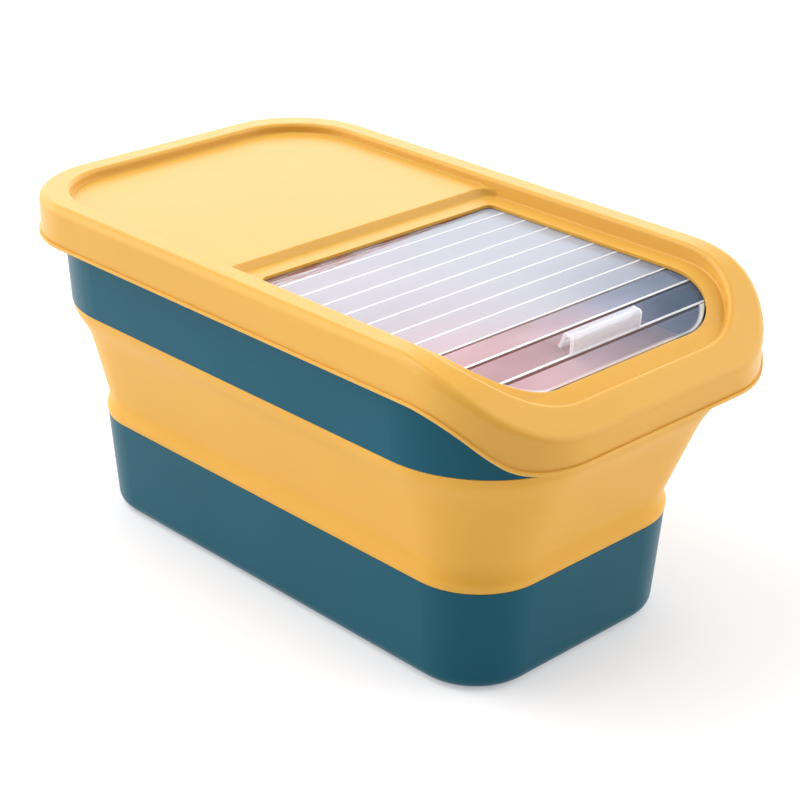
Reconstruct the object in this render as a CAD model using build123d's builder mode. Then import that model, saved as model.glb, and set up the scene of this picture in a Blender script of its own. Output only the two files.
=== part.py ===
"""Collapsible food storage container with a sliding slatted door in its lid.

Millimetres, +Z up. The origin is on the floor, under the middle of the lid.
+X points to the lowered front of the lid, where the door opens from.
"""

from build123d import *
import os
from math import asin, atan, cos, degrees, radians, sin, tan

# Lid: a long cap whose top and skirt both step down towards the front.
lid_length = 413.0
lid_width = 239.4
lid_top = 207.5
lid_wall = 2.0
lid_rear_corner = 58.5
lid_front_corner = 61.0
lid_edge_round = 5.0
skirt_rear_z = lid_top - 25.0
skirt_front_z = lid_top - 53.0
skirt_step_start_x = lid_length / 2 - 44.8
skirt_step_end_x = lid_length / 2 - 10.2
skirt_step_start_round = 60.0
skirt_step_end_round = 25.0
bead_height = 1.8
bead_width = 1.1
top_bend_start_x = lid_length / 2 - 80.0
top_bend_radius = 89.0
top_bend_angle = 36.0

# Recess in the lid's top: a raised rear panel, then a lower ledge round the window.
recess_half_width = lid_width / 2 - 16.2
recess_rear_x = 17.0 - lid_length / 2
recess_front_x = lid_length / 2 - 11.7
recess_rear_corner = 46.0
recess_front_corner = 54.0
recess_draft = 10.0
recess_crest_round = 2.5
recess_foot_round = 1.0
window_half_width = recess_half_width - 13.9
window_front_x = recess_front_x - 16.5
window_rear_x = window_front_x - 183.5
window_front_corner = 38.0
window_rear_corner = 4.5
panel_depth = 5.6
panel_end_x = window_rear_x - 16.3
step_run = 3.2
step_round = 3.0
ledge_depth = 9.5
floor_bend_start_x = window_front_x - 47.8
floor_bend_radius = 84.0
floor_front_slope = 23.0

# Body: the rim has one family of rounded outlines and the base another, set further back.
# An outline is named by its half width, and in a family the corners turn about the same four points.
rim_side_gap = 6.1
rim_rear_gap = 12.8
lid_overhang = 16.2
rim_half_width_bottom = lid_width / 2 - rim_side_gap
rim_centre_x = (rim_rear_gap - lid_overhang) / 2
rim_over_width = (lid_length - rim_rear_gap - lid_overhang) / 2 - rim_half_width_bottom
base_set_back = 7.1
base_extra_length = 4.6
rim_family = (rim_centre_x, rim_over_width)
base_family = (rim_centre_x - base_set_back, rim_over_width + base_extra_length)
corner_centre_y = rim_half_width_bottom - 67.6
rim_height_bottom = 143.9
rim_draft = 3.0
rim_wall = 2.4
shoulder_half_width = rim_half_width_bottom - 1.4
shoulder_height = 137.5
kink_half_width = rim_half_width_bottom - 9.0
kink_height = 125.3
neck_half_width = rim_half_width_bottom - 26.4
neck_height = 75.0
lip_half_width = rim_half_width_bottom - 23.9
lip_height = 67.5
band_wall = 1.8
base_half_width_top = rim_half_width_bottom - 24.7
base_half_width_bottom = base_half_width_top - 4.9
base_height = 63.0
base_wall = 2.4
base_floor = 2.6
base_bottom_round = 9.0
foot_width = 13.0
foot_recess = 1.0
hem_tongue = 1.0
hem_tongue_height = 5.0
hem_gap = 0.1

# Seal between the lid and the rim. It is pushed over a rib of the lid.
seal_middle = rim_half_width_bottom + 1.5
seal_width = 3.4
seal_thickness = 3.0
seal_depth = 2.6
seal_gap = 0.3
rib_width = 1.6
rib_bite = 1.2

# Sliding door: flat links on the straight track, three hinged links over the bend.
slat_pitch = 17.4
slat_thickness = 2.0
slat_gap = 0.3
axis_depth = 1.8
bead_radius = 1.0
bore_gap = 0.08
neck_thickness = 0.8
slot_gap = 0.38
socket_lip = 0.6
joint_gap = 0.35
groove_width = 0.7
slat_count = 12
flat_slats = 9
last_slat_length = 12.0
link_half_length = window_half_width + 0.9
front_half_length = window_half_width + 4.4
tongue_half_length = window_half_width + 7.9
bead_end_gap = 0.3
front_corner_round = 42.0
tail_corner_round = 15.5

# Track rails under the ledge, held by pegs of the lid.
rail_gap = 0.5
rail_inner = front_half_length + rail_gap
rail_wall_inner = tongue_half_length + rail_gap
rail_outer = rail_wall_inner + 5.0
rail_rear_x = recess_rear_x + 35.0
rail_front_x = floor_bend_start_x + 19.0
flange_thickness = 1.8
flange_gap = 0.3
peg_radius = 1.6
peg_head_radius = 3.0
peg_head_height = 1.2
peg_gap = 0.15
pegs_per_rail = 5
peg_margin = 16.0

# Sill that carries the door's leading edge.
sill_half_length = window_half_width - 43.6
sill_thickness = 1.6
sill_reach = 5.0
sill_root = 4.0

# Handle on the last slat but one: a hood on two legs, higher in front, its ends open.
handle_length = 54.0
handle_top_depth = 6.6
handle_height = 9.3
handle_rise = 1.5
handle_front_lean = 2.8
handle_wall = 1.5
handle_rear_round = 1.2
handle_front_round = 2.4
handle_rear_offset = 7.4
handle_foot_radius = 0.8


def outline(half_width, family=rim_family):
    """Rounded outline of the body at a half width, as a sketch in the plane in use."""
    centre_x, over_width = family
    with Locations((centre_x, 0)):
        RectangleRounded(2 * (half_width + over_width), 2 * half_width, half_width - corner_centre_y)


def flared(levels):
    """Solid with straight flared sides through a list of (half width, height, family)."""
    with BuildPart() as solid:
        for (low_width, low_z, low), (high_width, high_z, high) in zip(levels[:-1], levels[1:]):
            with BuildSketch(Plane.XY.offset(low_z)):
                outline(low_width, low)
            if low == high:
                flare = degrees(atan((high_width - low_width) / (high_z - low_z)))
                extrude(amount=high_z - low_z, taper=-flare)
            else:
                with BuildSketch(Plane.XY.offset(high_z)):
                    outline(high_width, high)
                loft(ruled=True)
    return solid.part


def narrowed(levels, wall):
    """The same levels with every half width reduced by a wall."""
    return [(width - wall, z, family) for width, z, family in levels]


def border(faces):
    """Edges round a group of faces, without those that lie between two of them."""
    edges = [edge for face in faces for edge in face.edges()]
    return ShapeList(e for e in edges if sum(e.is_same(other) for other in edges) == 1)


def top_border(faces):
    """Edges round the top of a lid block."""
    return border(faces.filter_by(lambda face: face.normal_at().Z > 0.5))


def bend_end(start_x, top_z, radius, angle, drop):
    """Where the bend of a line ends, for a line that lies drop below the bend's outside."""
    r = radius - drop
    return start_x + r * sin(radians(angle)), top_z - radius + r * cos(radians(angle))


def bent_line(start_x, top_z, radius, angle, slope, drop, rear_x, front_x):
    """Flat, then bent down by an angle, then straight on at a slope, drawn in the side view."""
    half = radians(angle / 2)
    r = radius - drop
    end_x, end_z = bend_end(start_x, top_z, radius, angle, drop)
    front_z = end_z - (front_x - end_x) * tan(radians(slope))
    middle = (start_x + r * sin(half), top_z - radius + r * cos(half))
    Line((rear_x, top_z - drop), (start_x, top_z - drop))
    ThreePointArc((start_x, top_z - drop), middle, (end_x, end_z))
    Line((end_x, end_z), (front_x, front_z))
    return front_z


def on_recess_crest(edge):
    """Whether an edge lies on the lid's top surface, at the rim of the recess."""
    middle = edge @ 0.5
    end_x, end_z = bend_end(top_bend_start_x, lid_top, top_bend_radius, top_bend_angle, 0)
    height = end_z - (middle.X - end_x) * tan(radians(top_bend_angle))
    if middle.X < end_x:
        across = max(middle.X - top_bend_start_x, 0)
        height = lid_top - top_bend_radius + (top_bend_radius**2 - across**2) ** 0.5
    inside = abs(middle.Y) < recess_half_width + 1 and recess_rear_x - 1 < middle.X < recess_front_x + 1
    return inside and abs(middle.Z - height) < 0.02


def window_angle():
    """How far the recess floor has bent where the window ends."""
    return degrees(asin((window_front_x - floor_bend_start_x) / floor_bend_radius))


def top_line(drop, rear_x, front_x):
    """Side line of the lid's top, drop below its surface. Returns its height in front."""
    return bent_line(
        top_bend_start_x, lid_top, top_bend_radius, top_bend_angle, top_bend_angle, drop, rear_x, front_x
    )


def ledge_line(drop, rear_x, front_x):
    """Side line of the ledge, drop below its surface. Returns its height in front."""
    return bent_line(
        floor_bend_start_x,
        lid_top - ledge_depth,
        floor_bend_radius,
        window_angle(),
        floor_front_slope,
        drop,
        rear_x,
        front_x,
    )


def below_ledge(drop, to_drop):
    """Slab over the whole lid between two depths below the line of the ledge."""
    half = lid_length / 2
    with BuildPart() as slab:
        with BuildSketch(Plane.XZ):
            with BuildLine():
                low_z = ledge_line(to_drop, -half, half)
                high_z = ledge_line(drop, -half, half)
                Line((half, low_z), (half, high_z))
                Line((-half, lid_top - ledge_depth - to_drop), (-half, lid_top - ledge_depth - drop))
            make_face()
        extrude(amount=lid_width, both=True)
    return slab.part


def ring(middle, width):
    """Upright ring through the whole lid, on a body outline."""
    with BuildPart() as wall:
        with BuildSketch(Plane.XY):
            outline(middle + width / 2)
        extrude(amount=lid_top)
        with BuildSketch(Plane.XY):
            outline(middle - width / 2)
        extrude(amount=lid_top, mode=Mode.SUBTRACT)
    return wall.part


def skirt_line(raise_by, half):
    """Side line of the skirt's lower edge, with its step down to the front."""
    FilletPolyline(
        (-half, skirt_rear_z + raise_by),
        (skirt_step_start_x, skirt_rear_z + raise_by),
        (skirt_step_end_x, skirt_front_z + raise_by),
        (half, skirt_front_z + raise_by),
        radius=[skirt_step_start_round - raise_by, skirt_step_end_round + raise_by],
    )


def rounded_plan(rear_x, front_x, half_y, rear_round, front_round):
    """Closed plan outline with one radius for the rear corners and one for the front corners."""
    FilletPolyline(
        (front_x, -half_y),
        (front_x, half_y),
        (rear_x, half_y),
        (rear_x, -half_y),
        radius=[front_round, front_round, rear_round, rear_round],
        close=True,
    )


def lid_plan(inset):
    """Plan outline of the lid, moved inwards by an inset."""
    half_x = lid_length / 2 - inset
    rounded_plan(
        -half_x, half_x, lid_width / 2 - inset, lid_rear_corner - inset, lid_front_corner - inset
    )


def lid_block(inset, drop):
    """The lid as a full block, moved inwards by an inset and down by a drop."""
    half = lid_length / 2 + 10
    low = skirt_front_z - 10
    with BuildPart() as block:
        with BuildSketch(Plane.XZ):
            with BuildLine():
                front_z = top_line(drop, -half, half)
                Polyline((half, front_z), (half, low), (-half, low), (-half, lid_top - drop))
            make_face()
        extrude(amount=lid_width, both=True)
        with BuildSketch(Plane.XY):
            with BuildLine():
                lid_plan(inset)
            make_face()
        extrude(amount=lid_top, mode=Mode.INTERSECT)
    return block.part


def below_skirt(raise_by):
    """Everything below the skirt's lower edge, or below a line raised from it."""
    half = lid_length / 2 + 20
    with BuildPart() as block:
        with BuildSketch(Plane.XZ):
            with BuildLine():
                skirt_line(raise_by, half)
                Polyline(
                    (half, skirt_front_z + raise_by),
                    (half, 0),
                    (-half, 0),
                    (-half, skirt_rear_z + raise_by),
                )
            make_face()
        extrude(amount=lid_width, both=True)
    return block.part


def recess(grow):
    """The recess in the lid's top, with its floor and sides moved outwards by a wall."""
    reach = 6.0
    top = lid_top + reach
    panel_z = lid_top - panel_depth - grow
    ledge_z = lid_top - ledge_depth - grow
    rear = recess_rear_x - 20
    front = recess_front_x + 20
    side = reach * tan(radians(recess_draft)) + grow
    with BuildPart() as form:
        with BuildSketch(Plane.XZ):
            with BuildLine():
                FilletPolyline(
                    (rear, panel_z),
                    (panel_end_x + grow, panel_z),
                    (panel_end_x + step_run + grow, ledge_z),
                    (window_rear_x, ledge_z),
                    radius=[step_round + grow, step_round],
                )
                front_z = ledge_line(grow, window_rear_x, front)
                Polyline((front, front_z), (front, top), (rear, top), (rear, panel_z))
            make_face()
        extrude(amount=lid_width, both=True)
        with BuildSketch(Plane.XY.offset(top)):
            with BuildLine():
                rounded_plan(
                    recess_rear_x - side,
                    recess_front_x + side,
                    recess_half_width + side,
                    recess_rear_corner + side,
                    recess_front_corner + side,
                )
            make_face()
        extrude(amount=-(top - skirt_front_z), taper=recess_draft, mode=Mode.INTERSECT)
    return form.part


def joint_places():
    """Place and downward tilt of each slat's rear joint axis, from the tail to the front."""
    line_z = lid_top - ledge_depth - lid_wall - slat_gap - axis_depth
    radius = floor_bend_radius - lid_wall - slat_gap - axis_depth
    places = []
    for index in range(flat_slats):
        places.append((floor_bend_start_x - (flat_slats - index) * slat_pitch, line_z, 0))
    turned = 0
    for length in (slat_pitch, slat_pitch, last_slat_length):
        turn = 2 * asin(length / 2 / radius)
        x = floor_bend_start_x + radius * sin(turned)
        z = line_z - radius + radius * cos(turned)
        places.append((x, z, degrees(turned + turn / 2)))
        turned += turn
    return places


def slat(length, half_length, socket, bead):
    """One slat lying flat, its rear joint axis on the Y axis and its front joint in front."""
    socket_radius = axis_depth
    front_end = length - socket_lip - groove_width if bead else length
    low = axis_depth - slat_thickness
    with BuildPart() as link:
        with BuildSketch(Plane.XZ):
            with Locations(((front_end - socket_lip) / 2, low + slat_thickness / 2)):
                Rectangle(front_end + socket_lip, slat_thickness)
            if bead:
                with Locations((length, 0)):
                    Circle(socket_radius + joint_gap, mode=Mode.SUBTRACT)
        extrude(amount=half_length, both=True)
        if socket:
            with BuildSketch(Plane.XZ):
                Circle(socket_radius)
            extrude(amount=link_half_length, both=True)
            with BuildSketch(Plane.XZ):
                Circle(bead_radius + bore_gap)
                with Locations((-socket_radius, 0)):
                    Rectangle(2 * socket_radius, neck_thickness + 2 * slot_gap)
            extrude(amount=link_half_length, both=True, mode=Mode.SUBTRACT)
        if bead:
            neck_length = 2 * (socket_radius + joint_gap)
            with BuildSketch(Plane.XZ):
                with Locations((length, 0)):
                    Circle(bead_radius)
                with Locations((length - neck_length / 2, 0)):
                    Rectangle(neck_length, neck_thickness)
            extrude(amount=link_half_length - bead_end_gap, both=True)
    return link.part


def rail_block(inner, outer, drop, to_drop):
    """Block along the +Y side of the track, between two depths below the ledge."""
    middle = ((rail_rear_x + rail_front_x) / 2, (inner + outer) / 2)
    with BuildPart() as block:
        with BuildSketch(Plane.XY):
            with Locations(middle):
                Rectangle(rail_front_x - rail_rear_x, outer - inner)
        extrude(amount=lid_top)
        add(below_ledge(drop, to_drop), mode=Mode.INTERSECT)
    return block.part


def track_rail():
    """The rail on the +Y side: a channel for the slats that the lid's ledge closes on top."""
    flange_top = lid_wall + slat_gap + slat_thickness + flange_gap
    with BuildPart() as rail:
        add(rail_block(rail_inner, rail_outer, -lid_wall, flange_top + flange_thickness))
        add(recess(lid_wall), mode=Mode.SUBTRACT)
        add(rail_block(rail_inner, rail_wall_inner, lid_wall, flange_top), mode=Mode.SUBTRACT)
        with BuildSketch(Plane.XY):
            with Locations(*peg_places()):
                Circle(peg_radius + peg_gap)
        extrude(amount=lid_top, mode=Mode.SUBTRACT)
    return rail.part


def peg_places():
    """Where the pegs stand on the +Y side, along the straight part of the rail."""
    y = (rail_wall_inner + rail_outer) / 2
    start = rail_rear_x + peg_margin
    pitch = (floor_bend_start_x - peg_margin - start) / (pegs_per_rail - 1)
    return [(start + index * pitch, y) for index in range(pegs_per_rail)]


# Base tub
inside_flare = (base_half_width_top - base_half_width_bottom) / base_height * (base_height - base_floor)
tongue_outer = base_half_width_top - base_wall + hem_tongue
with BuildPart() as base_hollow:
    bottom = base_half_width_top - base_wall - inside_flare
    top = base_half_width_top - base_wall
    add(flared([(bottom, base_floor, base_family), (top, base_height, base_family)]))
    fillet(base_hollow.faces().sort_by(Axis.Z)[0].edges(), base_bottom_round - base_wall)

base_levels = [
    (base_half_width_bottom, 0, base_family),
    (base_half_width_top, base_height, base_family),
]
with BuildPart() as base_tub:
    add(flared(base_levels))
    fillet(base_tub.faces().sort_by(Axis.Z)[0].edges(), base_bottom_round)
    with BuildSketch(Plane.XY.offset(base_height)):
        outline(tongue_outer, base_family)
    extrude(amount=hem_tongue_height)
    add(base_hollow.part, mode=Mode.SUBTRACT)
    with BuildSketch(Plane.XY.offset(base_height)):
        outline(base_half_width_top - base_wall, base_family)
    extrude(amount=hem_tongue_height, mode=Mode.SUBTRACT)
    with BuildSketch(Plane.XY):
        outline(base_half_width_bottom - foot_width, base_family)
    extrude(amount=foot_recess, mode=Mode.SUBTRACT)
base_tub.part.label = "base_tub"

# Fold band
band_levels = [
    (base_half_width_top, base_height, base_family),
    (lip_half_width, lip_height, base_family),
    (neck_half_width, neck_height, base_family),
    (kink_half_width, kink_height, rim_family),
    (shoulder_half_width, shoulder_height, rim_family),
    (rim_half_width_bottom, rim_height_bottom, rim_family),
]
rim_tongue_outer = rim_half_width_bottom - rim_wall + hem_tongue
with BuildPart() as fold_band:
    add(flared(band_levels))
    with BuildSketch(Plane.XY.offset(rim_height_bottom)):
        outline(rim_tongue_outer)
    extrude(amount=hem_tongue_height)
    add(flared(narrowed(band_levels, band_wall)), mode=Mode.SUBTRACT)
    with BuildSketch(Plane.XY.offset(rim_height_bottom)):
        outline(rim_half_width_bottom - band_wall)
    extrude(amount=hem_tongue_height, mode=Mode.SUBTRACT)
    with BuildSketch(Plane.XY.offset(base_height)):
        outline(tongue_outer + hem_gap, base_family)
    extrude(amount=hem_tongue_height + hem_gap, mode=Mode.SUBTRACT)
fold_band.part.label = "fold_band"

# Rim frame, its top edge under the seal all the way round
rim_drop = lid_wall + seal_depth + seal_thickness + seal_gap
rim_flare = (lid_top - rim_height_bottom) * tan(radians(rim_draft))
rim_levels = [
    (rim_half_width_bottom, rim_height_bottom, rim_family),
    (rim_half_width_bottom + rim_flare, lid_top, rim_family),
]
with BuildPart() as rim_frame:
    add(flared(rim_levels))
    add(flared(narrowed(rim_levels, rim_wall)), mode=Mode.SUBTRACT)
    with BuildSketch(Plane.XY.offset(rim_height_bottom)):
        outline(rim_tongue_outer + hem_gap)
    extrude(amount=hem_tongue_height + hem_gap, mode=Mode.SUBTRACT)
    add(below_ledge(rim_drop, lid_top / 2), mode=Mode.INTERSECT)
rim_frame.part.label = "rim_frame"

# Lid seal
seal_top = lid_wall + seal_depth
with BuildPart() as seal_groove:
    add(ring(seal_middle, rib_width))
    add(below_ledge(0, seal_top + rib_bite), mode=Mode.INTERSECT)

with BuildPart() as lid_seal:
    add(ring(seal_middle, seal_width))
    add(below_ledge(seal_top, seal_top + seal_thickness), mode=Mode.INTERSECT)
    add(seal_groove.part, mode=Mode.SUBTRACT)
lid_seal.part.label = "lid_seal"

# Lid cover
with BuildPart() as seal_rib:
    add(ring(seal_middle, rib_width))
    add(lid_block(lid_wall / 2, lid_wall / 2), mode=Mode.INTERSECT)
    add(recess(lid_wall / 2), mode=Mode.SUBTRACT)
    add(below_ledge(seal_top + rib_bite, lid_top), mode=Mode.SUBTRACT)

rail_bottom = lid_top - ledge_depth - lid_wall - slat_gap - slat_thickness - flange_gap - flange_thickness
with BuildPart() as pegs:
    with BuildSketch(Plane.XY.offset(rail_bottom)):
        with Locations(*peg_places()):
            Circle(peg_radius)
    extrude(amount=lid_top - rail_bottom)
    add(recess(lid_wall / 2), mode=Mode.SUBTRACT)
    with BuildSketch(Plane.XY.offset(rail_bottom)):
        with Locations(*peg_places()):
            Circle(peg_head_radius)
    extrude(amount=-peg_head_height)
    mirror(about=Plane.XZ)

with BuildPart() as lid_hollow:
    add(lid_block(lid_wall, lid_wall))
    fillet(top_border(lid_hollow.faces()), lid_edge_round - lid_wall)
    add(recess(lid_wall), mode=Mode.SUBTRACT)

with BuildPart() as skirt_bead:
    with BuildSketch(Plane.XY):
        with BuildLine():
            lid_plan(-bead_width)
        make_face()
        with BuildLine():
            lid_plan(lid_wall)
        make_face(mode=Mode.SUBTRACT)
    extrude(amount=lid_top)
    add(below_skirt(bead_height), mode=Mode.INTERSECT)

places = joint_places()
tip_x, tip_z, tip_tilt = places[-1]
slat_low = slat_thickness - axis_depth
sill_x = tip_x + last_slat_length * cos(radians(tip_tilt)) - slat_low * sin(radians(tip_tilt))
sill_z = tip_z - last_slat_length * sin(radians(tip_tilt)) - slat_low * cos(radians(tip_tilt))
sill_front = window_front_x + sill_root
with BuildPart() as lid_cover:
    add(lid_block(0, 0))
    fillet(top_border(lid_cover.faces()), lid_edge_round)
    add(skirt_bead.part)
    add(below_skirt(0), mode=Mode.SUBTRACT)
    add(recess(0), mode=Mode.SUBTRACT)
    walls = lid_cover.faces(Select.LAST).filter_by(lambda face: abs(face.normal_at().Z) < 0.6)
    fillet(border(walls).filter_by(lambda edge: not on_recess_crest(edge)), recess_foot_round)
    fillet(lid_cover.edges().filter_by(on_recess_crest), recess_crest_round)
    add(lid_hollow.part, mode=Mode.SUBTRACT)
    with BuildSketch(Plane.XY.offset(skirt_rear_z - 10)):
        with BuildLine():
            rounded_plan(
                window_rear_x,
                window_front_x,
                window_half_width,
                window_rear_corner,
                window_front_corner,
            )
        make_face()
    extrude(amount=lid_top, mode=Mode.SUBTRACT)
    add(seal_rib.part)
    add(pegs.part)
    with Locations((sill_x - sill_reach, 0, sill_z - slat_gap)):
        Box(
            sill_front - sill_x + sill_reach,
            2 * sill_half_length,
            sill_thickness,
            align=(Align.MIN, Align.CENTER, Align.MAX),
        )
lid_cover.part.label = "lid_cover"

# Track rails
with BuildPart() as track_rail_left:
    add(track_rail())
track_rail_left.part.label = "track_rail_left"

with BuildPart() as track_rail_right:
    add(mirror(track_rail(), about=Plane.XZ))
track_rail_right.part.label = "track_rail_right"

# Slats of the door
with BuildPart() as door_plan:
    with BuildSketch(Plane.XY):
        with BuildLine():
            tip_front = tip_x + last_slat_length * cos(radians(tip_tilt))
            tip_front += axis_depth * sin(radians(tip_tilt))
            tail_x = places[0][0] - socket_lip
            rounded_plan(tail_x, tip_front, front_half_length, tail_corner_round, front_corner_round)
        make_face()
    extrude(amount=lid_top)

slats = []
for index, (joint_x, joint_z, tilt) in enumerate(places):
    last = index == slat_count - 1
    half_length = tongue_half_length if index < flat_slats else front_half_length
    length = last_slat_length if last else slat_pitch
    with BuildPart() as piece:
        with Locations(Location((joint_x, 0, joint_z), (0, tilt, 0))):
            add(slat(length, half_length, socket=index > 0, bead=not last))
        if index >= flat_slats:
            add(door_plan.part, mode=Mode.INTERSECT)
        if index == 0:
            fillet(piece.edges().filter_by(Axis.Z).group_by(Axis.X)[0], tail_corner_round)
    piece.part.label = f"slat_{index + 1:02d}"
    slats.append(piece.part)

# Handle, standing on the last slat but one
grip_x, grip_z, grip_tilt = places[-2]
with BuildPart() as grip:
    with BuildSketch(Plane.XZ):
        with BuildLine():
            rear = handle_rear_offset
            shoulder = rear + handle_top_depth
            front = shoulder + handle_front_lean
            top = axis_depth + handle_height
            FilletPolyline(
                (rear, axis_depth),
                (rear, top),
                (shoulder, top + handle_rise),
                (front, axis_depth),
                (front - handle_wall, axis_depth),
                (shoulder - handle_wall, top + handle_rise - handle_wall),
                (rear + handle_wall, top - handle_wall),
                (rear + handle_wall, axis_depth),
                radius=[handle_rear_round, handle_front_round, 0.5, 0.5, handle_front_round / 2, 0.5],
            )
            Line((rear + handle_wall, axis_depth), (rear, axis_depth))
        make_face()
        with Locations((rear, axis_depth + handle_foot_radius + 0.1)):
            Circle(handle_foot_radius)
    extrude(amount=handle_length / 2, both=True)

with BuildPart() as door_handle:
    with Locations(Location((grip_x, 0, grip_z), (0, grip_tilt, 0))):
        add(grip.part)
door_handle.part.label = "door_handle"

os.makedirs("parts", exist_ok=True)
pieces = [base_tub, fold_band, rim_frame, lid_seal, lid_cover, track_rail_left, track_rail_right]
for piece in [named.part for named in pieces] + slats + [door_handle.part]:
    export_step(piece, f"parts/{piece.label}.step")
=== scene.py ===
import math

import bpy
from mathutils import Matrix, Vector

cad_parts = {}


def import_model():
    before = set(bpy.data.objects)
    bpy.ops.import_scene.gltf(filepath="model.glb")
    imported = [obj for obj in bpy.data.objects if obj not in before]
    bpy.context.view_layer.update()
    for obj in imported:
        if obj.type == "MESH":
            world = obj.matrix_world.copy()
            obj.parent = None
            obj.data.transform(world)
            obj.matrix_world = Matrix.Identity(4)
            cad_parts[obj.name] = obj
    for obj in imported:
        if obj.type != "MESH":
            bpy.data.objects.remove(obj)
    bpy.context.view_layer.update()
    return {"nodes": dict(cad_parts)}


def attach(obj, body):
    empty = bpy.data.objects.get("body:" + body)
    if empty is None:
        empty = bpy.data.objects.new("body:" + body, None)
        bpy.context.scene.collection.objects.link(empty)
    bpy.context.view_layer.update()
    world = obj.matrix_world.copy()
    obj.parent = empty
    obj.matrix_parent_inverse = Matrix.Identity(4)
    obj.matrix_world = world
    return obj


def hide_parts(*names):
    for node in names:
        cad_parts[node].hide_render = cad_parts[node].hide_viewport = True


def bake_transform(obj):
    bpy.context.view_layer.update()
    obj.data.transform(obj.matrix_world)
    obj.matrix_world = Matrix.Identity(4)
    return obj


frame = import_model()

MM = 0.001

# Sizes that the pieces below share with the solids, in millimetres.

# The plans of rim and base are rounded rectangles: centre x, and how much longer than wide.
RIM = (-1.7, 78.4)
BASE = (-8.8, 83.0)
# The middles of a plan's corner arcs lie this far from the middle line.
CORNER_Y = 46.0

# The lid's ledge runs level, bends down and ends in a straight slope.
LEDGE_Z = 198.0
LEDGE_BEND_X = 130.5
LEDGE_BEND_RADIUS = 84.0
LEDGE_BEND_RUN = 47.8
LEDGE_BEND_END = math.asin(LEDGE_BEND_RUN / LEDGE_BEND_RADIUS)
LEDGE_FRONT_SLOPE = math.radians(23.0)
PANEL_RISE = 3.9

# A slat has its own axes: u forward and w upward from its rear joint.
SLAT_COUNT = 12
FLAT_SLATS = 9
PITCH = 17.4
LAST_LENGTH = 12.0
JOINT_Z = 193.9
PLATE_TOP = 1.8
PLATE_UNDER = -0.2
SOCKET_RADIUS = 1.8
BORE_RADIUS = 1.08
BEAD_RADIUS = 1.0
NOSE_RADIUS = 2.15
LINK_HALF = 90.5
FRONT_HALF = 94.0
TONGUE_HALF = 97.5
DOOR_CORNER = 42.0

# Edges of swept pieces look sharp over this angle, in degrees.
SWEPT_SHARP_FROM = 32


# Shader building


class Value:
    """A socket that Python expressions can work with. Each operator adds one Math node."""

    def __init__(self, shader, socket):
        self.shader = shader
        self.socket = socket

    def _math(self, operation, *terms):
        return self.shader.add("ShaderNodeMath", {"operation": operation}, list(terms))

    def __add__(self, other):
        return self._math("ADD", self, other)

    def __radd__(self, other):
        return self._math("ADD", other, self)

    def __sub__(self, other):
        return self._math("SUBTRACT", self, other)

    def __rsub__(self, other):
        return self._math("SUBTRACT", other, self)

    def __mul__(self, other):
        return self._math("MULTIPLY", self, other)

    def __rmul__(self, other):
        return self._math("MULTIPLY", other, self)

    def __truediv__(self, other):
        return self._math("DIVIDE", self, other)

    def __rtruediv__(self, other):
        return self._math("DIVIDE", other, self)

    def __pow__(self, other):
        return self._math("POWER", self, other)

    def __neg__(self):
        return self._math("MULTIPLY", self, -1.0)

    def size(self):
        return self._math("ABSOLUTE", self)

    def low(self, other):
        return self._math("MINIMUM", self, other)

    def high(self, other):
        return self._math("MAXIMUM", self, other)

    def ramp(self, start, end, low=0.0, high=1.0):
        """Smooth change from low to high while the value goes from start to end."""
        return self.shader.add(
            "ShaderNodeMapRange",
            {"interpolation_type": "SMOOTHSTEP", "clamp": True},
            {"Value": self, "From Min": start, "From Max": end, "To Min": low, "To Max": high},
        )


class Nodes:
    """A node tree under construction."""

    def __init__(self, tree):
        self.tree = tree

    def add(self, kind, settings=(), inputs=(), output=0):
        """Adds a node: its settings first, then its inputs as numbers or links."""
        node = self.tree.nodes.new(kind)
        for key, value in dict(settings).items():
            setattr(node, key, value)
        pairs = inputs.items() if isinstance(inputs, dict) else enumerate(inputs)
        for key, value in pairs:
            if isinstance(value, Value):
                self.tree.links.new(value.socket, node.inputs[key])
            else:
                node.inputs[key].default_value = value
        return Value(self, node.outputs[output])

    def split(self, vector):
        """The three parts of a vector."""
        node = self.add("ShaderNodeSeparateXYZ", {}, [vector]).socket.node
        return [Value(self, part) for part in node.outputs]

    def noise(self, here, scale, detail=2.0, roughness=0.5, stretch=None):
        """Noise around one half. The scale is in cycles per metre."""
        if stretch:
            here = self.add("ShaderNodeMapping", {}, {"Vector": here, "Scale": stretch})
        return self.add(
            "ShaderNodeTexNoise",
            {"noise_dimensions": "3D"},
            {"Vector": here, "Scale": scale, "Detail": detail, "Roughness": roughness},
        )

    def mix(self, factor, first, second):
        """Mixes two colours."""
        node = self.tree.nodes.new("ShaderNodeMix")
        node.data_type = "RGBA"
        for index, value in ((0, factor), (6, first), (7, second)):
            if isinstance(value, Value):
                self.tree.links.new(value.socket, node.inputs[index])
            else:
                node.inputs[index].default_value = value if index == 0 else (*value[:3], 1.0)
        return Value(self, node.outputs[2])


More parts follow.
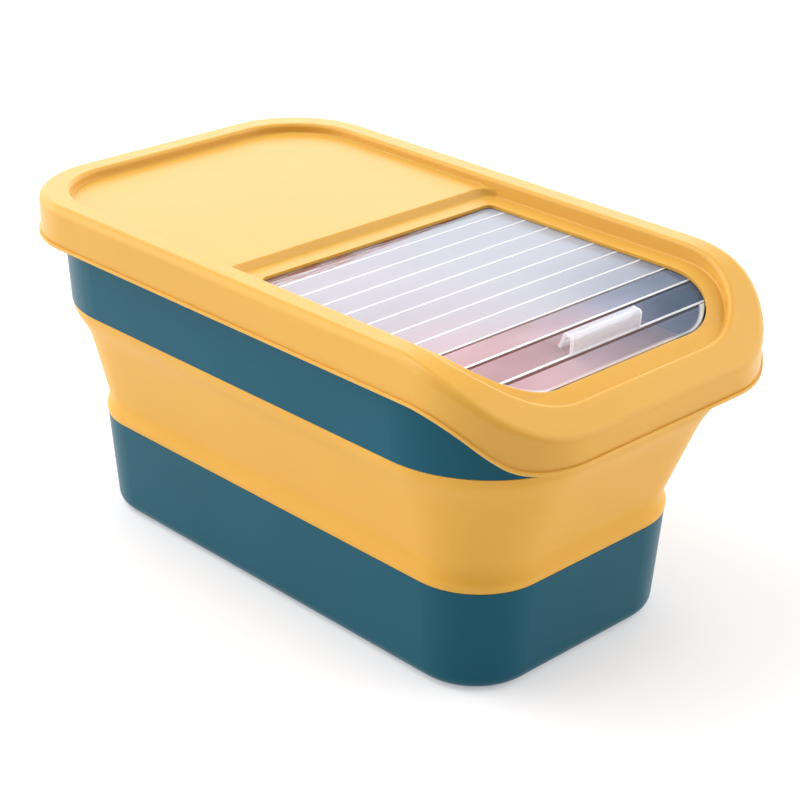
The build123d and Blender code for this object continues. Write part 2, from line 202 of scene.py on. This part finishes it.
class Finish(Nodes):
    """One material under construction. Its uniform values are set on the surface's own sockets."""

    def __init__(self, name, **uniform):
        self.material = bpy.data.materials.new(name)
        self.material.use_nodes = True
        super().__init__(self.material.node_tree)
        self.tree.nodes.clear()
        output = self.tree.nodes.new("ShaderNodeOutputMaterial")
        self.surface = self.tree.nodes.new("ShaderNodeBsdfPrincipled")
        self.tree.links.new(self.surface.outputs[0], output.inputs["Surface"])
        for socket, value in uniform.items():
            self.surface.inputs[socket.replace("_", " ")].default_value = value

    def place(self):
        """Object coordinates, as a vector and as three values in metres."""
        here = self.add("ShaderNodeTexCoord", output="Object")
        return here, self.split(here)

    def bump(self, height, strength, distance):
        """Turns a height into a surface normal. The distance is in metres."""
        return self.add(
            "ShaderNodeBump", {}, {"Height": height, "Strength": strength, "Distance": distance}
        )

    def feed(self, **sockets):
        """Links values to the sockets of the surface that may vary."""
        for socket, value in sockets.items():
            self.tree.links.new(value.socket, self.surface.inputs[socket.replace("_", " ")])
        return self.material


def linear(red, green, blue):
    """Screen colour, 0 to 255, as a linear colour."""
    values = []
    for part in (red, green, blue):
        part /= 255.0
        values.append(part / 12.92 if part <= 0.04045 else ((part + 0.055) / 1.055) ** 2.4)
    return (*values, 1.0)


# Finishes


def moulded(name, colour, shade, roughness, gloss=0.5, soft=0.0):
    """Moulded plastic: slow colour drift, a fine even grain and slightly uneven gloss."""
    uniform = {"Specular_IOR_Level": gloss, "IOR": 1.5}
    if soft:
        uniform["Subsurface_Weight"] = soft
        uniform["Subsurface_Radius"] = (1.0, 0.85, 0.6)
        uniform["Subsurface_Scale"] = 4.0 * MM
    finish = Finish(name, **uniform)
    here, _ = finish.place()
    drift = finish.noise(here, 9.0, 2.0).ramp(0.3, 0.7)
    fine = finish.noise(here, 2600.0, 3.0, 0.6)
    wide = finish.noise(here, 60.0, 2.0)
    return finish.feed(
        Base_Color=finish.mix(drift, colour, shade),
        Roughness=roughness + 0.05 * (wide - 0.5) + 0.08 * (fine - 0.5),
        Normal=finish.bump(fine + 0.6 * wide, 0.35, 0.02 * MM),
    )


TEAL = moulded("teal_plastic", linear(6, 82, 100), linear(4, 78, 96), 0.34, gloss=0.16)
LID = moulded(
    "yellow_lid_plastic", linear(218, 166, 72), linear(215, 163, 69), 0.3, gloss=0.25, soft=0.3
)
BAND = moulded(
    "yellow_band_rubber", linear(224, 168, 66), linear(221, 165, 63), 0.4, gloss=0.2, soft=0.15
)
RAIL = moulded("rail_plastic", linear(232, 231, 226), linear(228, 227, 221), 0.4)
SEAL = moulded("seal_silicone", linear(205, 204, 200), linear(198, 197, 193), 0.55)


def slat_plastic(
    name, place, haze, lit_and_shaded_tints, ridge_width, pitch=0.0, joint_shaded=False, edged=False, painted_step_reflection=False
):
    """Clear plastic of slats, hazy on top, with a painted highlight on the ridge along each slat's
    front edge.

    The place is a rear joint's x and z, the tilt and the length of a slat, repeated at the pitch if
    there is one. The haze and the two tint colours are pairs, for the near and the far end of a
    slat; the tint colours carry painted light, a pinker near end with a painted glow of the yellow
    inside seen through, and a darker, bluer far end as painted shade.
    """
    rear_x, rear_z, tilt, length = place
    near_haze, far_haze = haze
    near_tint_and_glow, far_tint_and_shade = lit_and_shaded_tints
    finish = Finish(name, IOR=1.49, Specular_IOR_Level=0.5)
    here, (x, y, z) = finish.place()
    ahead, above = x - rear_x * MM, z - rear_z * MM
    along = (ahead * math.cos(tilt) - above * math.sin(tilt)) / MM
    height = (ahead * math.sin(tilt) + above * math.cos(tilt)) / MM
    if pitch:
        along = finish.add("ShaderNodeMath", {"operation": "FLOORED_MODULO"}, [along, pitch])
    on_top = height.ramp(1.35, 1.6)
    on_edge = height.ramp(0.9, 1.3)
    far = y.ramp(-0.08, 0.085)
    cloud = finish.noise(here, 28.0, 2.0, 0.5, stretch=(1.0, 0.4, 1.0))
    fine = finish.noise(here, 900.0, 2.0)

    # Painted highlight: a bright line on each slat's front ridge, where its rounding would catch
    # the light, fainter towards the far end.
    ridge_rear, ridge_front = length - 1.1 - ridge_width, length - 1.2
    ridge = along.ramp(ridge_rear - 0.3, ridge_rear) * along.ramp(ridge_front + 0.2, ridge_front)
    painted_highlight_and_border = ridge * on_edge * (0.7 + 0.5 * cloud - 0.2 * far)
    if edged:
        # A white border goes round the door's front corners, measured from their middles.
        corner_x, corner_y = 0.1403, 0.0516
        reach = ((x - corner_x).high(0.0) ** 2 + (y.size() - corner_y).high(0.0) ** 2) ** 0.5
        painted_highlight_and_border = painted_highlight_and_border.high(reach.ramp(0.0335, 0.0355) * 0.8)

    # Painted light towards the front: dark bluish shade on the far side, and a pinkish glow of the
    # yellow inside seen through on the near one.
    drift = 0.15 * (cloud - 0.5)
    # Painted light across the slat: a pinker near end from the yellow inside seen through, a
    # darker, bluer far end in shade.
    body = finish.mix((far + drift).high(0.0).low(1.0), near_tint_and_glow, far_tint_and_shade)
    front = x.ramp(0.06, 0.135) * (0.5 + cloud)
    # Painted shade: darker and bluish on the far side of the front.
    body = finish.mix((front * y.ramp(-0.02, 0.08) * 0.6).low(1.0), body, linear(96, 110, 134))
    # Painted glow: pinkish on the near side of the front, from the yellow inside.
    body = finish.mix((front * y.ramp(0.0, -0.08) * 0.5).low(1.0), body, linear(205, 165, 175))
    if painted_step_reflection:
        # Painted reflection and shadow of the lid's step wall: brown streaks at the window's rear
        # edge, in a tapering strip that is wider on the near side.
        edge_x = -0.0062
        reach = y.ramp(-0.09, 0.09, 0.0135, 0.002)
        reflection_strand = finish.noise(here, 700.0, 2.0, stretch=(1.0, 0.06, 1.0)).ramp(0.38, 0.6)
        reflection_wedge = (reach - (x - edge_x)).ramp(-0.0004, 0.0012) * reflection_strand * 0.85
        body = finish.mix(reflection_wedge, body, linear(150, 78, 44))

    unevenness = 0.7 if joint_shaded else 0.1
    cover = near_haze + (far_haze - near_haze) * far + unevenness * (cloud - 0.5)
    cover = cover * (0.12 + 0.88 * on_top)
    if joint_shaded:
        # Painted shade: a dark line over the snap link at the slat's rear edge, where the gap at
        # the joint lies in shadow.
        shade = along.ramp(0.5, 0.1) * along.ramp(-1.3, -1.0) * on_edge
        body = finish.mix(shade, body, finish.mix(far, linear(128, 76, 72), linear(40, 46, 62)))
        cover = cover + (0.7 - cover) * shade
    return finish.feed(
        Base_Color=finish.mix(painted_highlight_and_border, body, linear(252, 252, 254)),
        Alpha=(cover + (0.92 - cover) * painted_highlight_and_border).high(0.0).low(1.0),
        Roughness=0.12 + 0.06 * fine + 0.2 * painted_highlight_and_border,
        Normal=finish.bump(cloud + 0.04 * fine, 0.1, 0.05 * MM),
    )


def milky_grip():
    """Milky translucent plastic of the handle, more opaque at its two ends as a painted highlight.
    """
    finish = Finish("milky_grip_plastic", IOR=1.49, Specular_IOR_Level=0.8)
    here, (_, y, _) = finish.place()
    cloud = finish.noise(here, 260.0, 2.0, 0.5, stretch=(1.0, 0.12, 1.0))
    # Painted highlight: the ends are made more opaque and so brighter, where light piped along the
    # handle shows.
    ends = y.size().ramp(0.0255, 0.0266)
    return finish.feed(
        Base_Color=finish.mix(
            cloud.ramp(0.35, 0.65), linear(252, 252, 255), linear(242, 244, 252)
        ),
        Alpha=0.36 + 0.4 * (cloud - 0.5) + 0.4 * ends,
        Roughness=0.2 + 0.1 * cloud,
        Normal=finish.bump(cloud, 0.15, 0.2 * MM),
    )


# Shapes


def link_places():
    """Rear joint, downward tilt and length of the three slats over the bend."""
    radius = LEDGE_BEND_RADIUS - LEDGE_Z + JOINT_Z
    turned = 0.0
    places = []
    for length in (PITCH, PITCH, LAST_LENGTH):
        turn = 2 * math.asin(length / 2 / radius)
        x = LEDGE_BEND_X + radius * math.sin(turned)
        z = JOINT_Z - radius + radius * math.cos(turned)
        places.append((x, z, turned + turn / 2, length))
        turned += turn
    return places


def ledge_height(x, drop):
    """Height of a line that follows the ledge, drop below its surface."""
    radius = LEDGE_BEND_RADIUS - drop
    centre = LEDGE_Z - LEDGE_BEND_RADIUS
    end_x = LEDGE_BEND_X + radius * math.sin(LEDGE_BEND_END)
    if x <= LEDGE_BEND_X:
        return LEDGE_Z - drop
    if x <= end_x:
        return centre + math.sqrt(radius**2 - (x - LEDGE_BEND_X) ** 2)
    end_z = centre + radius * math.cos(LEDGE_BEND_END)
    return end_z - (x - end_x) * math.tan(LEDGE_FRONT_SLOPE)


def body_outline(half_width, centre_x, over_width, arc_steps=20, side_steps=14, end_steps=8):
    """Plan points of the body at a half width, anticlockwise, with evenly divided sides."""
    radius = half_width - CORNER_Y
    corner_x = half_width + over_width - radius
    middles = [
        (centre_x + sign_x * corner_x, sign_y * CORNER_Y)
        for sign_x, sign_y in ((1, 1), (-1, 1), (-1, -1), (1, -1))
    ]

    def on_arc(quarter, angle):
        x, y = middles[quarter]
        return x + radius * math.cos(angle), y + radius * math.sin(angle)

    points = []
    for quarter in range(4):
        turn = quarter * math.pi / 2
        for step in range(arc_steps + 1):
            points.append(on_arc(quarter, turn + step / arc_steps * math.pi / 2))
        last = points[-1]
        first = on_arc((quarter + 1) % 4, turn + math.pi / 2)
        steps = side_steps if quarter in (0, 2) else end_steps
        for step in range(1, steps):
            share = step / steps
            points.append(tuple(a + (b - a) * share for a, b in zip(last, first)))
    return points


def softened(points, trims, steps=5):
    """A profile with its corners rounded off, each over its own trim length."""
    line = [points[0]]
    for before, corner, after, trim in zip(points, points[1:-1], points[2:], trims):
        if not trim:
            line.append(corner)
            continue
        ends = []
        for other in (before, after):
            reach = math.dist(corner[:2], other[:2])
            share = min(trim / reach, 0.48)
            ends.append([c + (o - c) * share for c, o in zip(corner, other)])
        for step in range(steps + 1):
            t = step / steps
            line.append(
                tuple(
                    (1 - t) ** 2 * a + 2 * t * (1 - t) * c + t**2 * b
                    for a, c, b in zip(ends[0], corner, ends[1])
                )
            )
    line.append(points[-1])
    return line


def finished(name, points, faces, material, sharp_from=None):
    """A mesh piece from points in millimetres: flat, or smooth but for edges over an angle."""
    mesh = bpy.data.meshes.new(name)
    mesh.from_pydata([tuple(c * MM for c in point) for point in points], [], faces)
    mesh.materials.append(material)
    if sharp_from is None:
        mesh.shade_flat()
    else:
        mesh.shade_smooth()
        mesh.set_sharp_from_angle(angle=math.radians(sharp_from))
    piece = bpy.data.objects.new(name, mesh)
    bpy.context.scene.collection.objects.link(piece)
    return piece


def skinned(rings, closed=False):
    """Points and faces of a skin over equal rings, which is closed on itself or has two caps."""
    count = len(rings[0])
    last = (len(rings) - 1) * count
    faces = [] if closed else [tuple(reversed(range(count))), tuple(range(last, last + count))]
    for ring in range(len(rings) if closed else len(rings) - 1):
        here, after = ring * count, (ring + 1) % len(rings) * count
        for step in range(count):
            side = (step + 1) % count
            faces.append((here + step, here + side, after + side, after + step))
    return [point for ring in rings for point in ring], faces


def discard(*things):
    """Removes helper objects."""
    for thing in things:
        bpy.data.objects.remove(thing)


def fold_band():
    """The soft band: a closed shell with a lip under its neck, a rounded kink and a shoulder.

    A profile point is a half width, a height and its share of the rim's plan over the base's.
    """
    outside = softened(
        [
            (88.55, 63.0, 0.0),
            (88.9, 63.35, 0.0),
            (89.7, 67.5, 0.0),
            (87.2, 75.0, 0.0),
            (104.6, 125.3, 1.0),
            (112.2, 137.5, 1.0),
            (113.6, 143.55, 1.0),
            (113.25, 143.9, 1.0),
        ],
        (0.0, 1.6, 4.0, 9.0, 5.0, 0.0),
    )
    tongue = [(112.2, 143.9, 1.0), (112.2, 148.8, 1.0), (111.8, 148.8, 1.0), (111.8, 143.9, 1.0)]
    wall = 1.8
    inside = [
        (width - wall, z, share) for width, z, share in reversed(outside) if 68.2 < z < 143.5
    ]
    hem = [(87.62, 68.1, 0.0), (87.62, 63.0, 0.0)]
    rings = []
    for width, z, share in outside + tongue + inside + hem:
        centre_x, over_width = (low + (high - low) * share for low, high in zip(BASE, RIM))
        rings.append([(x, y, z) for x, y in body_outline(width, centre_x, over_width)])
    piece = finished("soft_fold_band", *skinned(rings, closed=True), BAND, sharp_from=50)
    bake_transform(piece)
    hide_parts("fold_band")


def drawn(name, points):
    """A closed polyline in millimetres, as a curve that a tree can use."""
    curve = bpy.data.curves.new(name, "CURVE")
    curve.dimensions = "3D"
    spline = curve.splines.new("POLY")
    spline.points.add(len(points) - 1)
    for target, point in zip(spline.points, points):
        target.co = (*(c * MM for c in point), 1.0)
    spline.use_cyclic_u = True
    line = bpy.data.objects.new(name, curve)
    bpy.context.scene.collection.objects.link(line)
    return line


def drawn_profile(name, profile):
    """A profile to sweep. Its second axis turns over, because a sweep takes it downward."""
    return drawn(name, [(u, -w, 0.0) for u, w in profile])


class Steps(Nodes):
    """A tree of Geometry Nodes with named inputs."""

    SOCKETS = {
        "number": "NodeSocketFloat",
        "count": "NodeSocketInt",
        "object": "NodeSocketObject",
        "material": "NodeSocketMaterial",
        "vector": "NodeSocketVector",
    }

    def __init__(self, name, **inputs):
        super().__init__(bpy.data.node_groups.new(name, "GeometryNodeTree"))
        face = self.tree.interface
        face.new_socket("Geometry", in_out="INPUT", socket_type="NodeSocketGeometry")
        self.keys = {}
        for title, kind in inputs.items():
            socket = face.new_socket(
                title.replace("_", " "), in_out="INPUT", socket_type=self.SOCKETS[kind]
            )
            self.keys[title] = socket.identifier
        face.new_socket("Geometry", in_out="OUTPUT", socket_type="NodeSocketGeometry")
        group = self.tree.nodes.new("NodeGroupInput")
        self.inputs = {title: Value(self, group.outputs[i + 1]) for i, title in enumerate(inputs)}
        self.result = self.tree.nodes.new("NodeGroupOutput")

    def line(self, title):
        """The curve of an object input."""
        return self.add(
            "GeometryNodeObjectInfo",
            {"transform_space": "RELATIVE"},
            {"Object": self.inputs[title]},
            output="Geometry",
        )

    def join(self, *shapes):
        """Joins several shapes."""
        node = self.tree.nodes.new("GeometryNodeJoinGeometry")
        for shape in shapes:
            self.tree.links.new(shape.socket, node.inputs[0])
        return Value(self, node.outputs[0])

    def sweep(self, path, profile):
        """Sweeps a closed profile along a path, its second axis kept upright."""
        upright = self.add("GeometryNodeSetCurveNormal", {"mode": "Z_UP"}, {"Curve": path})
        return self.add(
            "GeometryNodeCurveToMesh",
            {},
            {"Curve": upright, "Profile Curve": profile, "Fill Caps": True},
        )

    def end(self, shape):
        """Ends the tree in real geometry with its material."""
        real = self.add("GeometryNodeRealizeInstances", {}, {"Geometry": shape})
        coated = self.add(
            "GeometryNodeSetMaterial", {}, {"Geometry": real, "Material": self.inputs["Material"]}
        )
        self.tree.links.new(coated.socket, self.result.inputs[0])

    def make(self, name, carrier, **values):
        """Runs the tree on a carrier object and keeps the result as a plain mesh piece."""
        worker = carrier.modifiers.new("making", "NODES")
        worker.node_group = self.tree
        for title, value in values.items():
            worker[self.keys[title]] = value
        settled = carrier.evaluated_get(bpy.context.evaluated_depsgraph_get())
        mesh = bpy.data.meshes.new_from_object(settled)
        mesh.name = name
        while mesh.materials[0] is None:
            mesh.materials.pop(index=0)
        for face in mesh.polygons:
            face.material_index = 0
        carrier.modifiers.remove(worker)
        mesh.shade_smooth()
        mesh.set_sharp_from_angle(angle=math.radians(SWEPT_SHARP_FROM))
        piece = bpy.data.objects.new(name, mesh)
        bpy.context.scene.collection.objects.link(piece)
        return piece


def arc(centre_u, radius, start, end, steps):
    """Points on an arc round a joint, in a slat's profile, with angles in degrees."""
    points = []
    for step in range(steps + 1):
        angle = math.radians(start + (end - start) * step / steps)
        points.append((centre_u + radius * math.cos(angle), radius * math.sin(angle)))
    return points


def slat_profile(length, bead):
    """Side profile of a slat between its ends: socket at the rear, plate, ridge, bead in front."""
    top = [(-1.12, PLATE_TOP - 0.14), (-0.98, PLATE_TOP), (-0.6, PLATE_TOP)]
    if bead:
        top += [
            (length - 3.2, PLATE_TOP),
            (length - 2.8, PLATE_TOP),
            (length - 2.4, PLATE_TOP + 0.1),
            (length - 2.0, PLATE_TOP + 0.16),
            (length - 1.6, PLATE_TOP + 0.1),
            (length - 1.42, PLATE_TOP),
            (length - 1.32, PLATE_TOP - 0.12),
        ]
        front = arc(length, NOSE_RADIUS, 129.0, 170.0, 5)
        knob = arc(length, BEAD_RADIUS, 156.0, -156.0, 14)
        under = [(length - 2.11, -0.4), (length - 4.3, -0.4), (length - 4.3, PLATE_UNDER)]
        nose = front + knob + under
    else:
        nose = [(length - 0.7, PLATE_TOP), (length - 0.2, 1.6), (length, 1.2), (length, 0.2)]
        nose += [(length - 0.3, PLATE_UNDER)]
    socket = arc(0.0, SOCKET_RADIUS, -6.4, -154.3, 12)
    bore = arc(0.0, BORE_RADIUS, -133.8, 133.8, 12)
    back = arc(0.0, SOCKET_RADIUS, 154.3, 131.0, 4)
    return top + nose + socket + bore + back


def tongue_profile(length, bead):
    """Side profile of a slat's end, the plain plate that runs in the rail."""
    front = length - 1.3 if bead else length
    return [
        (-1.12, PLATE_TOP - 0.14),
        (-0.98, PLATE_TOP),
        (front - 0.2, PLATE_TOP),
        (front, PLATE_TOP - 0.2),
        (front, PLATE_UNDER),
        (-1.12, PLATE_UNDER),
    ]


def door_block():
    """Upright block over the door's plan, with its rounded front corners."""
    rear_x, low, high = 100.0, 150.0, 210.0
    x, _, tilt, length = link_places()[-1]
    front = x + length * math.cos(tilt) + PLATE_TOP * math.sin(tilt)
    plan = [(rear_x, -FRONT_HALF), (rear_x, FRONT_HALF)]
    for sign, start in ((1, 90.0), (-1, 0.0)):
        for step in range(25):
            angle = math.radians(start - step * 3.75)
            plan.append(
                (
                    front - DOOR_CORNER + DOOR_CORNER * math.cos(angle),
                    sign * (FRONT_HALF - DOOR_CORNER) + DOOR_CORNER * math.sin(angle),
                )
            )
    rings = [[(x, y, z) for x, y in reversed(plan)] for z in (low, high)]
    return finished("door_cutter", *skinned(rings), SLAT)


def trimmed(piece, cutter):
    """Cuts a slat to the door's plan."""
    cut = piece.modifiers.new("cut", "BOOLEAN")
    cut.operation = "INTERSECT"
    cut.solver = "EXACT"
    cut.object = cutter
    settled = piece.evaluated_get(bpy.context.evaluated_depsgraph_get())
    mesh = bpy.data.meshes.new_from_object(settled)
    piece.modifiers.remove(cut)
    mesh.set_sharp_from_angle(angle=math.radians(SWEPT_SHARP_FROM))
    piece.data = mesh


def slat_run():
    """Tree of a run of slats: profile and end tongues swept across, put in place and repeated."""
    tree = Steps(
        "slat_run",
        Link_Profile="object",
        Tongue_Profile="object",
        Link_Half="number",
        Tongue_Half="number",
        Rear_Joint="vector",
        Tilt="vector",
        Pitch="vector",
        Count="count",
        Material="material",
    )
    half, full = tree.inputs["Link_Half"], tree.inputs["Tongue_Half"]

    def across(start, end):
        ends = [
            tree.add("ShaderNodeCombineXYZ", {}, {"X": 0.0, "Y": y, "Z": 0.0}) for y in (start, end)
        ]
        return tree.add("GeometryNodeCurvePrimitiveLine", {}, {"Start": ends[0], "End": ends[1]})

    # The seam keeps the ends of plate and tongue from touching.
    seam = 0.02 * MM
    link = tree.sweep(across(-half, half), tree.line("Link_Profile"))
    left = tree.sweep(across(half + seam, full), tree.line("Tongue_Profile"))
    right = tree.sweep(across(-full, -half - seam), tree.line("Tongue_Profile"))
    slat = tree.add(
        "GeometryNodeTransform",
        {},
        {
            "Geometry": tree.join(link, left, right),
            "Translation": tree.inputs["Rear_Joint"],
            "Rotation": tree.inputs["Tilt"],
        },
    )
    points = tree.add(
        "GeometryNodeMeshLine",
        {"mode": "OFFSET"},
        {"Count": tree.inputs["Count"], "Offset": tree.inputs["Pitch"]},
    )
    tree.end(tree.add("GeometryNodeInstanceOnPoints", {}, {"Points": points, "Instance": slat}))
    return tree


def door_slats():
    """All slats with joints: a run of flat ones, and the three over the bend, cut to the plan."""
    tree = slat_run()
    carrier = finished("slat_carrier", [(0, 0, 0)], [], SLAT)
    link = drawn_profile("link_profile", slat_profile(PITCH, True))
    tongue = drawn_profile("tongue_profile", tongue_profile(PITCH, True))
    last = drawn_profile("last_profile", slat_profile(LAST_LENGTH, False))
    last_tongue = drawn_profile("last_tongue", tongue_profile(LAST_LENGTH, False))

    second_x = LEDGE_BEND_X - (FLAT_SLATS - 1) * PITCH
    flat = tree.make(
        "door_flat_slats",
        carrier,
        Link_Profile=link,
        Tongue_Profile=tongue,
        Link_Half=LINK_HALF * MM,
        Tongue_Half=TONGUE_HALF * MM,
        Rear_Joint=(second_x * MM, 0.0, JOINT_Z * MM),
        Tilt=(0.0, 0.0, 0.0),
        Pitch=(PITCH * MM, 0.0, 0.0),
        Count=FLAT_SLATS - 1,
        Material=SLAT,
    )
    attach(flat, "door")
    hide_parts(*(f"slat_{index:02d}" for index in range(2, FLAT_SLATS + 1)))

    cutter = door_block()
    for index, (x, z, tilt, _) in enumerate(link_places()):
        number = FLAT_SLATS + 1 + index
        end_slat = number == SLAT_COUNT
        piece = tree.make(
            f"door_slat_{number}",
            carrier,
            Link_Profile=last if end_slat else link,
            Tongue_Profile=last_tongue if end_slat else tongue,
            Link_Half=LINK_HALF * MM,
            Tongue_Half=FRONT_HALF * MM,
            Rear_Joint=(x * MM, 0.0, z * MM),
            Tilt=(0.0, tilt, 0.0),
            Pitch=(PITCH * MM, 0.0, 0.0),
            Count=1,
            Material=BEND_SLATS[index],
        )
        trimmed(piece, cutter)
        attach(piece, f"link_{number}")
        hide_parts(f"slat_{number}")
    discard(carrier, link, tongue, last, last_tongue, cutter)


def seal():
    """Soft ring with a slot on top for the lid's rib, swept along the line of the ledge."""
    tree = Steps("seal_sweep", Path="object", Profile="object", Material="material")
    tree.end(tree.sweep(tree.line("Path"), tree.line("Profile")))
    half, slot_half, drop = 1.7, 0.82, 4.6
    profile = [
        (1.1, -1.4), (-1.1, -1.4), (-half, -0.9), (-half, 0.9), (-1.35, 1.35), (-slot_half, 1.4),
        (-slot_half, 0.3), (slot_half, 0.3), (slot_half, 1.4), (1.35, 1.35), (half, 0.9),
        (half, -0.9),
    ]
    ring = [
        (x, y, ledge_height(x, drop) - 1.5)
        for x, y in body_outline(115.1, *RIM, arc_steps=28, side_steps=50, end_steps=10)
    ]
    carrier = finished("seal_carrier", [(0, 0, 0)], [], SEAL)
    path = drawn("seal_path", ring)
    section = drawn_profile("seal_profile", profile)
    piece = tree.make("soft_lid_seal", carrier, Path=path, Profile=section, Material=SEAL)
    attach(piece, "lid")
    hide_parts("lid_seal")
    discard(carrier, path, section)


def step_wall():
    """Wall of the step between the lid's rear panel and its ledge, rounded into the sides.

    It closes the slit that the lid's solid has there, and lies just above the solid's surface.
    """
    lift, sink = 0.03, 0.09
    crest_x, crest_z = -21.24, LEDGE_Z + PANEL_RISE + lift
    foot_x, foot_z = -18.04, LEDGE_Z + lift
    rear_x, front_x = -22.9, -16.4
    wall_x, wall_z = 0.5, 1.1
    line = softened(
        [
            (-22.3, crest_z, 0),
            (crest_x, crest_z, 0),
            (foot_x, foot_z, 0),
            (front_x, foot_z - sink, 0),
        ],
        (1.4, 1.4),
    )
    # The first point only gives the direction in which the crest is rounded.
    slope = [(x, z) for x, z, _ in line[1:]]
    under = [(x - wall_x, z - wall_z) for x, z in reversed(slope)]
    bend, bend_y, end_y = 8.0, 94.0, 103.4
    places = [bend_y + bend * math.sin(math.radians(15.0 * step)) for step in range(7)] + [end_y]
    rings = []
    for y in [-place for place in reversed(places)] + places:
        over = min(max(abs(y) - bend_y, 0.0), bend)
        ahead = bend - math.sqrt(bend**2 - over**2)
        section = [(rear_x, crest_z - sink), (-22.4, crest_z)]
        section += [(x + ahead, z) for x, z in slope + under]
        section += [(rear_x, crest_z - wall_z)]
        rings.append([(x, y, z) for x, z in section])
    piece = finished("lid_step_wall", *skinned(rings), LID, sharp_from=40)
    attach(piece, "lid")


def dress(node, material):
    """Gives a carried-over CAD node its finish."""
    piece = frame["nodes"][node]
    piece.data.materials.clear()
    piece.data.materials.append(material)
    for face in piece.data.polygons:
        face.material_index = 0


SLAT = slat_plastic(
    "clear_slat_plastic",
    (LEDGE_BEND_X - FLAT_SLATS * PITCH, JOINT_Z, 0.0, PITCH),
    haze=(0.74, 0.7),
    lit_and_shaded_tints=(linear(187, 182, 195), linear(182, 189, 204)),
    ridge_width=1.3,
    pitch=PITCH,
    # Painted reflection and shadow of the step wall at the window's rear edge.
    painted_step_reflection=True,
)

BEND_HAZE = ((0.66, 0.5), (0.6, 0.34), (0.76, 0.42))
# The last slat has no ridge: with this length, it would lie past the slat's end.
NO_RIDGE_LENGTH = 60.0
BEND_SLATS = []
for index, (x, z, tilt, length) in enumerate(link_places()):
    number = FLAT_SLATS + 1 + index
    last_one = number == SLAT_COUNT
    BEND_SLATS.append(
        slat_plastic(
            f"clear_slat_{number}_plastic",
            (x, z, tilt, NO_RIDGE_LENGTH if last_one else length),
            haze=BEND_HAZE[index],
            # Painted light: a pinker near end and a darker, bluer far end in shade.
            lit_and_shaded_tints=(linear(230, 192, 197), linear(160, 180, 214)),
            ridge_width=1.5,
            # The bend slats get a painted shade line at their joints.
            joint_shaded=True,
            edged=last_one,
        )
    )

for node, material in (
    ("base_tub", TEAL),
    ("rim_frame", TEAL),
    ("lid_cover", LID),
    ("track_rail_left", RAIL),
    ("track_rail_right", RAIL),
    ("door_handle", milky_grip()),
    ("slat_01", SLAT),
):
    dress(node, material)

fold_band()
seal()
step_wall()
door_slats()


# Floor, lights and camera


def floor():
    """Wide pale floor."""
    half = 4000.0
    corners = [(-half, -half, 0.0), (half, -half, 0.0), (half, half, 0.0), (-half, half, 0.0)]
    finish = Finish(
        "studio_floor_paint",
        Specular_IOR_Level=0.1,
        Emission_Strength=0.33,
        Emission_Color=(1.0, 1.0, 1.0, 1.0),
    )
    here, _ = finish.place()
    cloud = finish.noise(here, 1.5, 2.0)
    paint = finish.feed(
        Base_Color=finish.mix(cloud, (0.64, 0.64, 0.655), (0.66, 0.66, 0.675)),
        Roughness=0.75 + 0.1 * cloud,
    )
    finished("studio_floor", corners, [(0, 1, 2, 3)], paint)


def panel(name, place, target, width, height, power):
    """A soft rectangular light that faces a target."""
    data = bpy.data.lights.new(name, "AREA")
    data.shape = "RECTANGLE"
    data.size = width
    data.size_y = height
    data.energy = power
    light = bpy.data.objects.new(name, data)
    bpy.context.scene.collection.objects.link(light)
    light.location = place
    aim = Vector(target) - Vector(place)
    light.rotation_euler = aim.to_track_quat("-Z", "Y").to_euler()


def camera():
    """The photograph's camera, fitted to the outline of the part."""
    azimuth, elevation, roll = math.radians(45.749), math.radians(25.008), math.radians(0.731)
    distance = 1.1877
    focal_pixels, picture_width, sensor_width = 2046.9, 800.0, 36.0
    target = Vector((12.732, 0.0, 103.818)) * MM
    back = Vector(
        (
            math.sin(azimuth) * math.cos(elevation),
            -math.cos(azimuth) * math.cos(elevation),
            math.sin(elevation),
        )
    )
    right = Vector((math.cos(azimuth), math.sin(azimuth), 0.0))
    up = back.cross(right)
    turned_right = right * math.cos(roll) + up * math.sin(roll)
    turned_up = -right * math.sin(roll) + up * math.cos(roll)
    data = bpy.data.cameras.new("photo_camera")
    data.sensor_width = sensor_width
    data.lens = focal_pixels / picture_width * sensor_width
    data.clip_start = 0.01
    data.clip_end = 50.0
    view = bpy.data.objects.new("photo_camera", data)
    bpy.context.scene.collection.objects.link(view)
    turn = Matrix((turned_right, turned_up, back)).transposed().to_4x4()
    view.matrix_world = Matrix.Translation(target + back * distance) @ turn
    bpy.context.scene.camera = view


def world():
    """Pale studio: dim in front, a bright card behind and a soft lamp on either side."""
    sky = bpy.data.worlds.new("studio")
    sky.use_nodes = True
    room = Nodes(sky.node_tree)
    background = sky.node_tree.nodes["Background"]
    x, y, z = room.split(room.add("ShaderNodeTexCoord", output="Generated"))

    def towards(dx, dy, dz):
        size = math.sqrt(dx * dx + dy * dy + dz * dz)
        return x * (dx / size) + y * (dy / size) + z * (dz / size)

    front_x, front_y = 0.716, -0.698
    dim = towards(front_x, front_y, 0.0).ramp(-0.15, 0.5) * z.ramp(0.7, 0.3)
    behind = x * -front_x + y * -front_y
    card = behind.ramp(0.5, 0.75) * z.ramp(0.02, 0.14) * z.ramp(0.56, 0.48)
    left = towards(-0.72, -0.62, 0.3).ramp(0.7, 0.97)
    right = towards(0.62, 0.74, 0.3).ramp(0.65, 0.97)
    light = (0.5 + 0.3 * z) * (1.0 - 0.97 * dim) + 1.8 * card + 2.7 * left + 2.15 * right
    background.inputs["Color"].default_value = (1.0, 1.0, 1.0, 1.0)
    sky.node_tree.links.new(light.socket, background.inputs["Strength"])
    bpy.context.scene.world = sky


floor()
world()
panel(
    "key_light",
    place=(-0.65, -0.5, 1.85),
    target=(0.0, 0.0, 0.1),
    width=0.9,
    height=0.9,
    power=13.0,
)
camera()
bpy.context.scene.view_settings.view_transform = "Standard"
